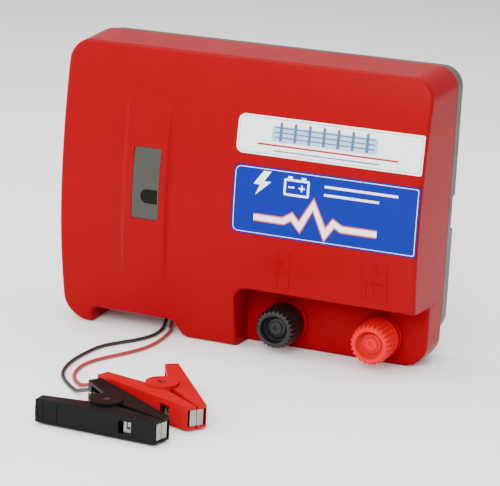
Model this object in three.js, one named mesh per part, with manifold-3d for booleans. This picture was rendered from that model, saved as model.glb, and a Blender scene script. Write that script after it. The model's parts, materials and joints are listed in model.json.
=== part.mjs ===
// Battery-powered fence energizer with two terminals and two battery clips.
// Millimetres, +Z up. X runs along the front, -Y is the front.
// The origin is on the ground, under the middle of the housing.
import * as THREE from "three";
import { mergeVertices } from "three/addons/utils/BufferGeometryUtils.js";
import Module from "manifold-3d";

const wasm = await Module();
wasm.setup();

// ---------------------------------------------------------------- driving dimensions
const caseHalfWidth = 125.9; // at the seam between the covers
const caseHeight = 192; // at the seam
const coverDepth = 40.8; // front edge to seam
const rearDepth = 12.9;
const rearInset = 0.3; // the rear cover's sides are this much inside the front cover's
const rearTopInset = 1;
const rearStepInset = 0.7;
const rearBottom = 13.6; // underside of the rear cover
const cornerRadius = 14;
const leftFootRadius = 18; // lower corners of the front cover
const rightFootRadius = 16;
const wall = 2.5;
const gap = 0.3; // between touching pieces
const originSetback = 20.5; // from the front edge of the housing to the origin
const draftX = 0.0195; // narrowing of the front cover towards the front
const draftZ = 0.0105;

const notchLeft = -104.6; // cable notch under the left half
const notchRight = -48;
const notchEnd = -34.3;
const notchTop = 11.3;
const notchRounding = 3.5;

const recessLeft = 1; // stepped-back bay for the two terminals
const recessTop = 42.6;
const recessCorner = 9.5;
const recessFace = 16.3;

const ridge = { x0: -77, x1: -44.8, z0: 39, z1: 154, rise: 2 };
const ridgeCorner = 0.6;
const windowPane = { x0: -70.2, x1: -51, z0: 80.2, z1: 127.4 };
const paneCorner = 1.5;
const paneThickness = 1.3;
const panePocket = 1.6;
const lens = { x: -59.4, z: 95.6, radius: 4.3, right: -52.6, rise: 0.4, back: 8 };
const whiteArea = { x0: -1, x1: 121.5, z0: 131.8, z1: 156.4 };
const blueArea = { x0: -1, x1: 122, z0: 80.6, z1: 124.6 };
const labelCorner = 4.6;
const labelEndCorner = 1.2;
const labelDepth = 0.6;
const labelSink = 0.1; // printed face below the housing's face
const symbolAreas = [
  { x0: 23.6, x1: 39.6, z0: 58.6, z1: 72.6 },
  { x0: 23.6, x1: 39.6, z0: 47.6, z1: 57 },
  { x0: 88, x1: 104.6, z0: 47.6, z1: 73.2 },
];
const symbolCorner = 1;
const symbolRise = 0.5;

const caseScrew = { length: 22, head: 3.6, shank: 1.6, boss: 5.5, hole: 2, sink: 4, sinkDepth: 4 };
const smallScrew = { length: 9, head: 2.8, shank: 1.1, post: 4, hole: 1.5, reach: 9 };

const terminals = [
  { name: "earth", x: 29.5, colour: 0x1e2020 },
  { name: "fence", x: 94, colour: 0xd90f1c },
];
const knob = {
  radius: 13.4,
  front: -8,
  length: 20,
  ribs: 24,
  ribDepth: 1.1,
  cup: 9.1,
  step: 7.4,
  boss: 4.4,
  dimple: 1.6,
  noseInset: 1.3,
  noseDepth: 1.2,
  cupDepth: 6,
  stepDepth: 8,
  bossFront: 3.5,
  dimpleDepth: 4.5,
  boreFront: 10,
};
const terminalHeight = 18;
const baseRadius = 14.8;
const baseFront = 13.2;
const baseDepth = 2.8;
const baseEdge = 0.8;
const studRadius = 3;
const studFront = 11; // behind the knob's front
const studBack = 27;
const nut = { radius: 5.6, thickness: 3.6, back: 4.3 };
const innerWasher = { radius: 8.5, thickness: 1.2, hole: 4.6 };
const clampWasher = { radius: 11, thickness: 0.6 };

const wireRadius = 1.2;
const innerWireRadius = 1;
const gland = { x: -56, y: 24, spread: 2.3, radius: 5.7, flange: 7.4 };

const clipTurn = { black: -17, red: -37.4 };
const clipPivot = { black: [-8, -195], red: [7.5, -152] };
const clip = {
  tip: 43, // pivot to jaw end
  tipHalf: 6.4,
  tail: 30, // pivot to handle end, along the clip
  tailHalf: 27.4,
  tailWidth: 8.5,
  hub: 9.9,
  low: 1.6, // the hub bosses hold the body this far off the ground
  high: 15.2,
  skin: 1.7,
  pinRadius: 2.3,
  leadHole: 2,
  leadHoleAt: [-31.5, 20.6],
  leadSlope: [-10, 3.8],
  neck: [
    [-4.5, 6.6],
    [1, 2.4],
  ],
  jawLine: 0.5, // half the gap between the two halves at the jaw
  throat: 2.4,
  discProud: 1.6,
  window: { back: 18, width: 8, height: 7.6 },
  ribs: [-22, -13],
  ribWidth: 1.2,
};

// ---------------------------------------------------------------- materials
const finish = (color, roughness, metalness = 0) =>
  new THREE.MeshStandardMaterial({ color, roughness, metalness });
const redPlastic = finish(0xc8141c, 0.35);
const greyPlastic = finish(0x7f7d73, 0.5);
const blackRubber = finish(0x1a1a1a, 0.8);
const steel = finish(0xb4b4ae, 0.3, 1);
const brass = finish(0xb08d4a, 0.35, 1);
const boardGreen = finish(0x2e5a38, 0.5);
const dark = finish(0x2a2926, 0.4);
const copper = finish(0xa8643a, 0.4, 1);

// ---------------------------------------------------------------- solids
// Cutting solids run out to here, clear of the housing on every side.
const ahead = -40;
const behind = 60;
const outside = 150;
const below = -5;
const above = 200;
const faceReach = 10; // how far back a cut in the front face goes
const over = 5; // how far a hole runs past the face it opens in

const X = new THREE.Vector3(1, 0, 0);
const Y = new THREE.Vector3(0, 1, 0);
const Z = new THREE.Vector3(0, 0, 1);
const xzPlane = new THREE.Matrix4().makeBasis(X, Z, Y.clone().negate());
const yzPlane = new THREE.Matrix4().makeBasis(Y, Z, X);

function solid(geometry) {
  const bare = geometry.clone();
  bare.deleteAttribute("normal");
  bare.deleteAttribute("uv");
  const merged = mergeVertices(bare, 1e-4);
  const mesh = new wasm.Mesh({
    numProp: 3,
    vertProperties: new Float32Array(merged.attributes.position.array),
    triVerts: new Uint32Array(merged.index.array),
  });
  mesh.merge();
  return new wasm.Manifold(mesh);
}

function geometryOf(manifold) {
  const mesh = manifold.getMesh();
  const geometry = new THREE.BufferGeometry();
  geometry.setAttribute("position", new THREE.BufferAttribute(mesh.vertProperties, 3));
  geometry.setIndex(new THREE.BufferAttribute(mesh.triVerts, 1));
  geometry.computeVertexNormals();
  return geometry;
}

const join = (first, ...others) => others.reduce((all, next) => all.add(next), first);
const cut = (first, ...others) => others.reduce((all, next) => all.subtract(next), first);

const extruded = (shape, depth, curveSegments = 8) =>
  new THREE.ExtrudeGeometry(shape, { depth, curveSegments, bevelEnabled: false });

// A shape drawn in X and Z, spread from y0 back to y1.
const plate = (shape, y0, y1, curveSegments) =>
  solid(extruded(shape, y1 - y0, curveSegments).applyMatrix4(xzPlane).translate(0, y1, 0));

// A shape drawn in Y and Z, spread from x0 to x1.
const across = (shape, x0, x1) =>
  solid(extruded(shape, x1 - x0).applyMatrix4(yzPlane).translate(x0, 0, 0));

// A shape drawn in X and Y, standing from z0 to z1.
const upright = (shape, z0, z1, curveSegments) =>
  solid(extruded(shape, z1 - z0, curveSegments).translate(0, 0, z0));

const block = (x0, x1, y0, y1, z0, z1) =>
  solid(
    new THREE.BoxGeometry(x1 - x0, y1 - y0, z1 - z0).translate(
      (x0 + x1) / 2,
      (y0 + y1) / 2,
      (z0 + z1) / 2,
    ),
  );

const rodY = (x, z, radius, y0, y1, sides = 20) =>
  solid(new THREE.CylinderGeometry(radius, radius, y1 - y0, sides).translate(x, (y0 + y1) / 2, z));

const rodZ = (x, y, radius, z0, z1, sides = 20) =>
  solid(
    new THREE.CylinderGeometry(radius, radius, z1 - z0, sides)
      .rotateX(Math.PI / 2)
      .translate(x, y, (z0 + z1) / 2),
  );

function roundedRect(x0, x1, z0, z1, radius, inset = 0) {
  const [left, right, low, high] = [x0 + inset, x1 - inset, z0 + inset, z1 - inset];
  const r = Math.max(radius - inset, 0.2);
  const shape = new THREE.Shape();
  shape.absarc(left + r, low + r, r, Math.PI, 1.5 * Math.PI);
  shape.absarc(right - r, low + r, r, 1.5 * Math.PI, 2 * Math.PI);
  shape.absarc(right - r, high - r, r, 0, 0.5 * Math.PI);
  shape.absarc(left + r, high - r, r, 0.5 * Math.PI, Math.PI);
  shape.closePath();
  return shape;
}

const areaShape = (area, radius, inset = 0) =>
  roundedRect(area.x0, area.x1, area.z0, area.z1, radius, inset);

// Rounded at the left and nearly square at the right.
function labelShape(area, inset = 0) {
  const [x0, x1] = [area.x0 + inset, area.x1 - inset];
  const [z0, z1] = [area.z0 + inset, area.z1 - inset];
  const [r, s] = [labelCorner - inset, labelEndCorner];
  const shape = new THREE.Shape();
  shape.absarc(x0 + r, z0 + r, r, Math.PI, 1.5 * Math.PI);
  shape.absarc(x1 - s, z0 + s, s, 1.5 * Math.PI, 2 * Math.PI);
  shape.absarc(x1 - s, z1 - s, s, 0, 0.5 * Math.PI);
  shape.absarc(x0 + r, z1 - r, r, 0.5 * Math.PI, Math.PI);
  shape.closePath();
  return shape;
}

function polygon(points) {
  return new THREE.Shape(points.map(([x, y]) => new THREE.Vector2(x, y)));
}

function tube(points, radius, sides, steps) {
  const path = new THREE.CatmullRomCurve3(
    points.map((point) => new THREE.Vector3(...point)),
    false,
    "centripetal",
  );
  const section = new THREE.Shape();
  section.absarc(0, 0, radius, 0, 2 * Math.PI);
  return new THREE.ExtrudeGeometry(section, {
    steps,
    curveSegments: sides / 2,
    extrudePath: path,
  });
}

// ---------------------------------------------------------------- assembly helpers
const energizer = new THREE.Group();
const housing = new THREE.Group();
housing.position.y = -originSetback;
energizer.add(housing);

function place(name, shape, material, parent = housing) {
  const geometry = shape.isBufferGeometry ? shape : geometryOf(shape);
  const mesh = new THREE.Mesh(geometry, material);
  mesh.name = name;
  parent.add(mesh);
  return mesh;
}

// ---------------------------------------------------------------- front cover
// How far the front bulges forward of its top edge, from the ground up.
const bulge = new THREE.SplineCurve(
  [
    [0, 0.2],
    [35, 8.4],
    [70, 12.7],
    [105, 13.1],
    [140, 9.6],
    [165, 6],
    [190, 0],
    [200, -3],
  ].map(([z, forward]) => new THREE.Vector2(-forward, z)),
);

const frontLine = bulge.getPoints(15);

const ridgeRise = (z) => {
  const along = (z - ridge.z0) / (ridge.z1 - ridge.z0);
  return along > 0 && along < 1 ? ridge.rise * Math.sin(Math.PI * along) : 0;
};

// Everything behind the front surface, moved forward by proud(z).
function behindFront(proud) {
  const shape = new THREE.Shape();
  shape.moveTo(behind, below);
  shape.lineTo(frontLine[0].x - proud(0), below);
  frontLine.forEach(({ x, y }) => shape.lineTo(x - proud(y), y));
  shape.lineTo(behind, above);
  shape.closePath();
  return across(shape, -outside, outside);
}

const level = (height) => () => height;

function coverOutline(inset) {
  const side = caseHalfWidth - inset;
  const top = caseHeight - inset;
  const r = cornerRadius - inset;
  const shape = new THREE.Shape();
  if (inset > 0) {
    shape.moveTo(-side, notchTop + inset);
    shape.lineTo(notchRight, notchTop + inset);
  } else {
    const foot = leftFootRadius;
    shape.absarc(-side + foot, foot, foot, Math.PI, 1.5 * Math.PI);
    shape.lineTo(notchLeft, 0);
    shape.quadraticCurveTo(notchLeft, notchTop, notchLeft + notchRounding, notchTop);
    shape.lineTo(notchRight, notchTop);
  }
  const half = (notchRight + notchEnd) / 2;
  shape.bezierCurveTo(half, notchTop + inset, half, inset, notchEnd + inset, inset);
  const rightFoot = rightFootRadius - inset;
  shape.absarc(side - rightFoot, rightFootRadius, rightFoot, 1.5 * Math.PI, 2 * Math.PI);
  shape.absarc(side - r, top - r, r, 0, 0.5 * Math.PI);
  shape.absarc(-side + r, top - r, r, 0.5 * Math.PI, Math.PI);
  shape.closePath();
  return shape;
}

// Narrows a solid towards the front, as the mould's draft does.
function drafted(manifold) {
  const mesh = manifold.getMesh();
  const vertices = mesh.vertProperties;
  for (let i = 0; i < vertices.length; i += 3) {
    const forward = (coverDepth - vertices[i + 1]) / coverDepth;
    vertices[i] *= 1 - draftX * forward;
    vertices[i + 2] *= 1 - draftZ * forward;
  }
  return new wasm.Manifold(
    new wasm.Mesh({ numProp: 3, vertProperties: vertices, triVerts: mesh.triVerts }),
  );
}

const rearOutline = (inset) =>
  roundedRect(
    -caseHalfWidth + rearInset,
    caseHalfWidth - rearInset,
    rearBottom,
    caseHeight - rearTopInset,
    cornerRadius,
    inset,
  );

function recessOutline(grow) {
  const left = recessLeft - grow;
  const top = recessTop + grow;
  const r = recessCorner + grow;
  const shape = new THREE.Shape();
  shape.moveTo(left, below);
  shape.lineTo(outside, below);
  shape.lineTo(outside, top);
  shape.absarc(left + r, top - r, r, 0.5 * Math.PI, Math.PI);
  shape.closePath();
  return shape;
}

const rearOpening = 6; // the housing screws sit in a flange this wide
const caseHoleDepth = 16;
const caseScrews = [
  [-113, 30],
  [113, 60],
  [-113, 177],
  [113, 177],
];
const boardScrews = [
  [-90, 68],
  [30, 68],
  [-90, 148],
  [30, 148],
];
const boardFace = 20; // front of the circuit board
const strapScrews = [
  [48.5, 120],
  [115.5, 120],
];
const strapFace = 22; // front of the transformer strap's ears

function lensShape(grow) {
  const { x, z, radius, right } = lens;
  const shape = new THREE.Shape();
  shape.absarc(x, z, radius + grow, 0.5 * Math.PI, 1.5 * Math.PI);
  shape.lineTo(right + grow, z - radius - grow);
  shape.lineTo(right + grow, z + radius + grow);
  shape.closePath();
  return shape;
}

function frontCover() {
  const shell = drafted(plate(coverOutline(0), ahead, coverDepth, 5)).intersect(
    behindFront(level(0)),
  );
  const inside = drafted(plate(coverOutline(wall), ahead, coverDepth - wall, 3)).intersect(
    behindFront(level(-wall)),
  );
  const bay = plate(recessOutline(0), ahead, recessFace, 6);
  const bayWalls = plate(recessOutline(wall), ahead, recessFace + wall, 4);
  const raised = (area, proud) =>
    area.intersect(behindFront(proud)).subtract(behindFront(level(-1)));
  const ridgeBand = raised(plate(areaShape(ridge, ridgeCorner), ahead, faceReach, 2), ridgeRise);
  const pads = symbolAreas.map((area) =>
    raised(plate(areaShape(area, symbolCorner), ahead, faceReach, 3), level(symbolRise)),
  );
  const post = ([x, z], face) => rodY(x, z, smallScrew.post, ahead, face - gap, 8);
  const posts = [
    ...boardScrews.map((at) => post(at, boardFace)),
    ...strapScrews.map((at) => post(at, strapFace)),
  ];
  const bosses = caseScrews.map(([x, z]) => rodY(x, z, caseScrew.boss, ahead, coverDepth, 10));
  const inner = join(...posts, ...bosses).intersect(behindFront(level(-1)));
  const opening = plate(rearOutline(rearOpening), coverDepth - 2 * wall, coverDepth + over, 4);
  const hollow = cut(inside.add(opening), bayWalls);
  const pocket = plate(areaShape(windowPane, paneCorner), ahead, faceReach, 3).subtract(
    behindFront((z) => ridgeRise(z) - panePocket),
  );
  const labelPocket = (area) =>
    plate(labelShape(area), ahead, faceReach, 4).subtract(
      behindFront(level(-labelDepth - labelSink)),
    );
  const studHoles = terminals.map(({ x }) => rodY(x, terminalHeight, studRadius + gap, 5, 25));
  const postHole = ([x, z], face) =>
    rodY(x, z, smallScrew.hole, face - smallScrew.reach, face + over, 8);
  const screwHoles = [
    ...caseScrews.map(([x, z]) =>
      rodY(x, z, caseScrew.hole, coverDepth - caseHoleDepth, coverDepth + over, 8),
    ),
    ...boardScrews.map((at) => postHole(at, boardFace)),
    ...strapScrews.map((at) => postHole(at, strapFace)),
  ];
  return cut(
    join(cut(shell, hollow), ridgeBand, ...pads, inner.intersect(shell)),
    bay,
    pocket,
    labelPocket(whiteArea),
    labelPocket(blueArea),
    plate(lensShape(gap), ahead, faceReach),
    rodZ(gland.x, gland.y, gland.radius + gap, notchTop - over, notchTop + wall + over),
    ...studHoles,
    ...screwHoles,
  );
}

place("front_cover", frontCover(), redPlastic);

// ---------------------------------------------------------------- seal and rear cover
const sealFront = coverDepth + gap;
const sealThickness = 0.8;
const rearFront = sealFront + sealThickness + gap;
const rearBack = rearFront + rearDepth;
const stepDepth = 6; // the rear cover is stepped in behind this depth

place(
  "case_seal",
  cut(
    plate(rearOutline(1), sealFront, sealFront + sealThickness, 4),
    plate(rearOutline(4), sealFront - 1, sealFront + 3, 4),
  ),
  blackRubber,
);

const strapSlot = { inner: 119, z0: 85, z1: 107 };
const strapSlotDepth = 6.4;
const keyholes = [-75, 75];
const keyholeHeight = 150;
const keyholeSize = { head: 5.2, slot: 2.7, rise: 12, corner: 2.6, deep: 8 };
const keyholeBox = { half: 10, down: 9, up: 18, deep: 7, floor: 1.5, skin: 2 };

function keyhole(x) {
  const { head, slot, rise, corner, deep } = keyholeSize;
  const [front, back] = [rearBack - deep, rearBack + over];
  const neck = roundedRect(x - slot, x + slot, keyholeHeight, keyholeHeight + rise, corner);
  return rodY(x, keyholeHeight, head, front, back, 18).add(plate(neck, front, back, 3));
}

function rearCover() {
  const body = join(
    plate(rearOutline(0), rearFront, rearFront + stepDepth, 5),
    plate(rearOutline(rearStepInset), rearFront + stepDepth, rearBack, 5),
  );
  const inside = plate(rearOutline(rearStepInset + wall), rearFront - 1, rearBack - wall, 3);
  const slotBox = (x0, x1, grow) =>
    block(
      x0,
      x1,
      rearBack - strapSlotDepth - grow,
      rearBack + over,
      strapSlot.z0 - grow,
      strapSlot.z1 + grow,
    );
  const slots = [
    slotBox(strapSlot.inner, outside, 0),
    slotBox(-outside, -strapSlot.inner, 0),
  ];
  const slotWalls = [
    slotBox(strapSlot.inner - wall, outside, wall),
    slotBox(-outside, -strapSlot.inner + wall, wall),
  ];
  const { half, down, up, deep, floor, skin } = keyholeBox;
  const [low, high] = [keyholeHeight - down, keyholeHeight + up];
  const keyholeBoxes = keyholes.map((x) =>
    block(x - half, x + half, rearBack - deep, rearBack, low, high),
  );
  const keyholeHollows = keyholes.map((x) =>
    block(
      x - half + skin,
      x + half - skin,
      rearBack - deep + floor,
      rearBack - wall,
      low + skin,
      high - skin,
    ),
  );
  const bosses = caseScrews.map(([x, z]) =>
    rodY(x, z, caseScrew.boss, rearFront, rearBack, 10),
  );
  const walls = cut(body, inside);
  const extra = join(...slotWalls, ...keyholeBoxes, ...bosses).intersect(body);
  const shanks = caseScrews.map(([x, z]) =>
    rodY(x, z, caseScrew.hole, rearFront - over, rearBack + over, 8),
  );
  const sinks = caseScrews.map(([x, z]) =>
    rodY(x, z, caseScrew.sink, rearBack - caseScrew.sinkDepth, rearBack + over, 14),
  );
  return cut(
    join(walls, extra),
    ...slots,
    ...keyholeHollows,
    ...keyholes.map(keyhole),
    ...shanks,
    ...sinks,
  );
}

place("rear_cover", rearCover(), greyPlastic);

// A pan-head screw along Y with a cross recess; its head is at the back.
function screw([x, z], seat, { length, head, shank }) {
  const headHeight = 2;
  const crossFloor = seat + 1;
  const crossHalf = 0.5;
  const arm = head * 0.6;
  const shape = join(
    rodY(x, z, shank, seat - length, seat + headHeight / 4, 8),
    rodY(x, z, head, seat, seat + headHeight, 14),
  );
  return cut(
    shape,
    block(x - arm, x + arm, crossFloor, seat + over, z - crossHalf, z + crossHalf),
    block(x - crossHalf, x + crossHalf, crossFloor, seat + over, z - arm, z + arm),
  );
}

caseScrews.forEach((at, i) => {
  const seat = rearBack - caseScrew.sinkDepth + gap;
  place(`case_screw_${i + 1}`, screw(at, seat, caseScrew), steel);
});

// ---------------------------------------------------------------- front trim
place(
  "indicator_plate",
  cut(
    plate(areaShape(windowPane, paneCorner, gap), ahead, faceReach, 3)
      .intersect(behindFront(ridgeRise))
      .subtract(behindFront((z) => ridgeRise(z) - paneThickness)),
    plate(lensShape(gap), ahead, faceReach),
  ),
  finish(0x696961, 0.55),
);
place(
  "indicator_lens",
  plate(lensShape(0), ahead, lens.back).intersect(behindFront((z) => ridgeRise(z) + lens.rise)),
  dark,
);

function label(area) {
  return plate(labelShape(area, gap), ahead, faceReach, 4)
    .intersect(behindFront(level(-labelSink)))
    .subtract(behindFront(level(-labelDepth + labelSink)));
}
place("white_label", label(whiteArea), finish(0xe4ebea, 0.3));
place("blue_label", label(blueArea), finish(0x345cc1, 0.3));

// ---------------------------------------------------------------- electronics
const board = { x0: -96, x1: 36, z0: 62, z1: 154, corner: 2, thickness: 1.6 };
const boardBack = boardFace + board.thickness;
const partFace = boardBack + gap;

function circuitBoard() {
  const sheet = plate(areaShape(board, board.corner), boardFace, boardBack, 2);
  const hole = smallScrew.shank + 0.5;
  return cut(
    sheet,
    ...boardScrews.map(([x, z]) => rodY(x, z, hole, boardFace - over, boardBack + over, 10)),
  );
}
place("circuit_board", circuitBoard(), boardGreen);
boardScrews.forEach((at, i) => {
  place(`board_screw_${i + 1}`, screw(at, boardBack + gap, smallScrew), steel);
});

const led = { x: -57.5, radius: 2.5, length: 9, rim: 3, rimLength: 2.3 };
const storageCan = { x0: -84, x1: -40, z0: 78, z1: 104, corner: 2.5, back: 46 };
const smoothingCan = { x: 10, z: 134, radius: 8, sleeve: 8.4, back: 44, ends: 1.5 };
const inverter = {
  x: -20,
  z: 134,
  core: 14, // half width
  bar: [6, 10], // inner and outer edge of the core's bars, from the middle
  coreBack: 42,
  coil: [10, 13], // half width and half height
  coilBack: 40,
};
const thyristor = { half: 5, low: 88, bodyTop: 97, bodyBack: 26.4, tabTop: 103, tabBack: 23.2 };
const sink = { half: 12, low: 78, high: 104, front: 26.7, plate: 2.3, back: 44, finWidth: 2 };
const sinkFins = [-12, -6.8, -1, 4.8, 10];
const fuse = {
  x: -25,
  z: 70,
  half: [11, 4], // half length and half width of the base
  baseBack: 24.4,
  post: 5,
  postHalf: 3,
  postBack: 31,
  barrel: { radius: 2.2, length: 20, y: 28 },
};

place(
  "indicator_led",
  join(
    rodY(led.x, lens.z, led.radius, boardFace - led.length, boardFace - gap, 16),
    rodY(led.x, lens.z, led.rim, boardFace - led.rimLength, boardFace - gap, 16),
  ),
  finish(0xb83a2c, 0.2),
);
place(
  "storage_capacitor",
  plate(areaShape(storageCan, storageCan.corner), partFace, storageCan.back, 3),
  finish(0x2a4c86, 0.4),
);

function smoothingCapacitor() {
  const { x, z, radius, sleeve, back, ends } = smoothingCan;
  return join(
    rodY(x, z, radius, partFace, back, 24),
    rodY(x, z, sleeve, partFace + ends, back - ends, 24),
  );
}
place("smoothing_capacitor", smoothingCapacitor(), finish(0x22262e, 0.35));

function inverterTransformer() {
  const { x, z, core: half, bar, coreBack, coil, coilBack } = inverter;
  const [inner, outer] = bar;
  return join(
    block(x - half, x + half, partFace, coreBack, z - outer, z - inner),
    block(x - half, x + half, partFace, coreBack, z + inner, z + outer),
    block(x - coil[0], x + coil[0], partFace + 1, coilBack, z - coil[1], z + coil[1]),
  );
}
place("inverter_transformer", inverterTransformer(), finish(0x3a3834, 0.6));

function thyristorBody() {
  const { half, low, bodyTop, bodyBack, tabTop, tabBack } = thyristor;
  return join(
    block(-half, half, partFace, bodyBack, low, bodyTop),
    block(-half, half, partFace, tabBack, low, tabTop),
  );
}
place("thyristor", thyristorBody(), dark);

function heatSink() {
  const { half, low, high, front, back, finWidth } = sink;
  const fins = sinkFins.map((x) => block(x, x + finWidth, front + 1.3, back, low, high));
  return join(block(-half, half, front, front + sink.plate, low, high), ...fins);
}
place("heat_sink", heatSink(), finish(0x9b9ea0, 0.35, 1));

function batteryFuse() {
  const { x, z, half, baseBack, post, postHalf, postBack, barrel } = fuse;
  const [left, right] = [x - half[0], x + half[0]];
  const holder = (x0, x1) => block(x0, x1, partFace, postBack, z - postHalf, z + postHalf);
  return join(
    block(left, right, partFace, baseBack, z - half[1], z + half[1]),
    holder(left, left + post),
    holder(right - post, right),
    solid(
      new THREE.CylinderGeometry(barrel.radius, barrel.radius, barrel.length, 14)
        .rotateZ(Math.PI / 2)
        .translate(x, barrel.y, z),
    ),
  );
}
place("battery_fuse", batteryFuse(), finish(0xc9c6b8, 0.3));

// Output transformer: a laminated frame around one coil, held by a strap.
const core = { x: 82, z: 120, halfWidth: 27, halfHeight: 23, front: 13, back: 33 };
const coreWindow = { from: 9.4, to: 18.6, halfHeight: 14.4 };
const coilProud = 8; // coil beyond the core, front and back
const strap = { thickness: 1.2, ear: 4, half: 8, hole: 1.7 };

function transformerCore() {
  const { x, z, halfWidth, halfHeight, front, back } = core;
  const { from, to, halfHeight: tall } = coreWindow;
  return cut(
    block(x - halfWidth, x + halfWidth, front, back, z - halfHeight, z + halfHeight),
    block(x + from, x + to, front - 1, back + 1, z - tall, z + tall),
    block(x - to, x - from, front - 1, back + 1, z - tall, z + tall),
  );
}

function transformerCoil() {
  const { x, z, front, back } = core;
  const { from, to, halfHeight } = coreWindow;
  const outer = plate(
    roundedRect(x - to + gap, x + to - gap, z - halfHeight + gap, z + halfHeight - gap, 1),
    front - coilProud,
    back + coilProud,
    3,
  );
  const leg = block(
    x - from - gap,
    x + from + gap,
    front - gap,
    back + gap,
    z - halfHeight - 1,
    z + halfHeight + 1,
  );
  return cut(outer, leg);
}
place("transformer_core", transformerCore(), finish(0x55534e, 0.5, 0.6));
place("transformer_coil", transformerCoil(), copper);

function transformerStrap() {
  const thick = strap.thickness;
  const inner = core.halfWidth + gap;
  const back = core.back + coilProud + gap;
  const ear = strapScrews[1][0] - core.x + strap.ear;
  const hat = polygon([
    [core.x - ear, strapFace],
    [core.x - inner, strapFace],
    [core.x - inner, back],
    [core.x + inner, back],
    [core.x + inner, strapFace],
    [core.x + ear, strapFace],
    [core.x + ear, strapFace + thick],
    [core.x + inner + thick, strapFace + thick],
    [core.x + inner + thick, back + thick],
    [core.x - inner - thick, back + thick],
    [core.x - inner - thick, strapFace + thick],
    [core.x - ear, strapFace + thick],
  ]);
  const holes = strapScrews.map(([x, z]) =>
    rodY(x, z, strap.hole, strapFace - over, strapFace + over, 10),
  );
  return cut(upright(hat, core.z - strap.half, core.z + strap.half), ...holes);
}
place("transformer_strap", transformerStrap(), steel);
strapScrews.forEach((at, i) => {
  const seat = strapFace + strap.thickness + gap;
  place(`strap_screw_${i + 1}`, screw(at, seat, smallScrew), steel);
});

function wire(name, points, colour) {
  place(name, tube(points, innerWireRadius, 8, 11), finish(colour, 0.5));
}
wire(
  "supply_wire_black",
  [
    [gland.x - gland.spread, gland.y, 16.8],
    [gland.x - gland.spread, 25, 28],
    [-63, 31, 44],
    [-64, 31, 60],
    [-63, 26, 69],
    [-63, partFace + 0.1, 70],
  ],
  0x262423,
);
wire(
  "supply_wire_red",
  [
    [gland.x + gland.spread, gland.y, 16.8],
    [gland.x + gland.spread, 25, 28],
    [-50, 31, 44],
    [-49, 31, 60],
    [-50, 26, 69],
    [-50, partFace + 0.1, 70],
  ],
  0xb02a22,
);
wire(
  "earth_wire",
  [
    [22, partFace + 0.1, 72],
    [22, 28, 70],
    [25, 37, 45],
    [29.5, 33, 19],
    [29.5, 27.6, terminalHeight],
  ],
  0x2c6e35,
);
wire(
  "fence_wire",
  [
    [88, 36, 105.5],
    [89, 37, 92],
    [94, 40, 60],
    [95, 34, 20],
    [94, 27.6, terminalHeight],
  ],
  0xb02a22,
);

// ---------------------------------------------------------------- terminals
function rodProfile(points, y, sides = 20) {
  // Radius and distance behind y, turned around the Y axis.
  const outline = points.map(([radius, back]) => new THREE.Vector2(radius, back));
  return solid(new THREE.LatheGeometry(outline, sides)).translate(0, y, 0);
}

function knobBody() {
  const { radius: outer, front, length, ribs, ribDepth } = knob;
  const shape = new THREE.Shape();
  for (let i = 0; i < ribs * 2; i += 1) {
    const angle = (Math.PI * i) / ribs;
    const radius = i % 2 ? outer : outer - ribDepth;
    const point = [radius * Math.cos(angle), radius * Math.sin(angle)];
    if (i === 0) shape.moveTo(...point);
    else shape.lineTo(...point);
  }
  shape.closePath();
  const grip = plate(shape, front + knob.noseDepth, front + length, 2);
  const nose = rodY(0, 0, outer - knob.noseInset, front, front + knob.noseDepth + 0.8, 24);
  const cup = rodY(0, 0, knob.cup, front - over, front + knob.cupDepth, 20);
  const stepRing = rodY(0, 0, knob.step, front, front + knob.stepDepth, 20);
  const boss = rodY(0, 0, knob.boss, front + knob.bossFront, front + knob.stepDepth + 1, 14);
  const dimple = rodY(0, 0, knob.dimple, front, front + knob.dimpleDepth, 8);
  const bore = rodY(0, 0, studRadius + gap, front + knob.boreFront, front + length + over, 12);
  return cut(join(cut(join(grip, nose), cup, stepRing), boss), dimple, bore);
}

terminals.forEach(({ name, x, colour }) => {
  const terminal = new THREE.Group();
  terminal.position.set(x, 0, terminalHeight);
  housing.add(terminal);
  const base = cut(
    rodProfile(
      [
        [0, 0],
        [baseRadius - baseEdge, 0],
        [baseRadius, baseEdge],
        [baseRadius, baseDepth],
        [0, baseDepth],
      ],
      baseFront,
    ),
    rodY(0, 0, studRadius + gap, baseFront - over, baseFront + baseDepth + over, 12),
  );
  place(`${name}_terminal_base`, base, redPlastic, terminal);
  const inside = recessFace + wall + gap; // the bay's wall, seen from inside
  const stud = join(
    rodY(0, 0, studRadius, knob.front + studFront, studBack, 12),
    solid(
      new THREE.CylinderGeometry(nut.radius, nut.radius, nut.thickness, 6)
        .translate(0, inside + nut.back, 0),
    ),
  );
  place(`${name}_terminal_stud`, stud, steel, terminal);
  const washer = cut(
    rodY(0, 0, innerWasher.radius, 0, innerWasher.thickness, 18),
    rodY(0, 0, innerWasher.hole, -over, over, 12),
  );
  place(`${name}_inner_washer`, washer.translate(0, inside, 0), steel, terminal);
  const press = cut(
    rodY(0, 0, clampWasher.radius, 0, clampWasher.thickness, 24),
    rodY(0, 0, studRadius + gap, -over, over, 12),
  );
  place(`${name}_clamp_washer`, press.translate(0, knob.front + knob.length + gap, 0), brass, terminal);
  place(`${name}_knob`, knobBody(), finish(colour, 0.4), terminal);
});

// ---------------------------------------------------------------- cable gland
function cableGland() {
  const { radius, flange, spread } = gland;
  const [bottom, top] = [notchTop - 2, notchTop + wall + 2.5];
  const body = join(
    rodZ(0, 0, flange, bottom, notchTop - gap, 24),
    rodZ(0, 0, radius, bottom + 1, top - 1, 24),
    rodZ(0, 0, flange, notchTop + wall + gap + 0.2, top, 24),
  );
  const holes = [-1, 1].map((side) =>
    rodZ(side * spread, 0, wireRadius + gap, bottom - over, top + over, 10),
  );
  return cut(body, ...holes).translate(gland.x, gland.y, 0);
}
place("cable_gland", cableGland(), blackRubber);

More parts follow.
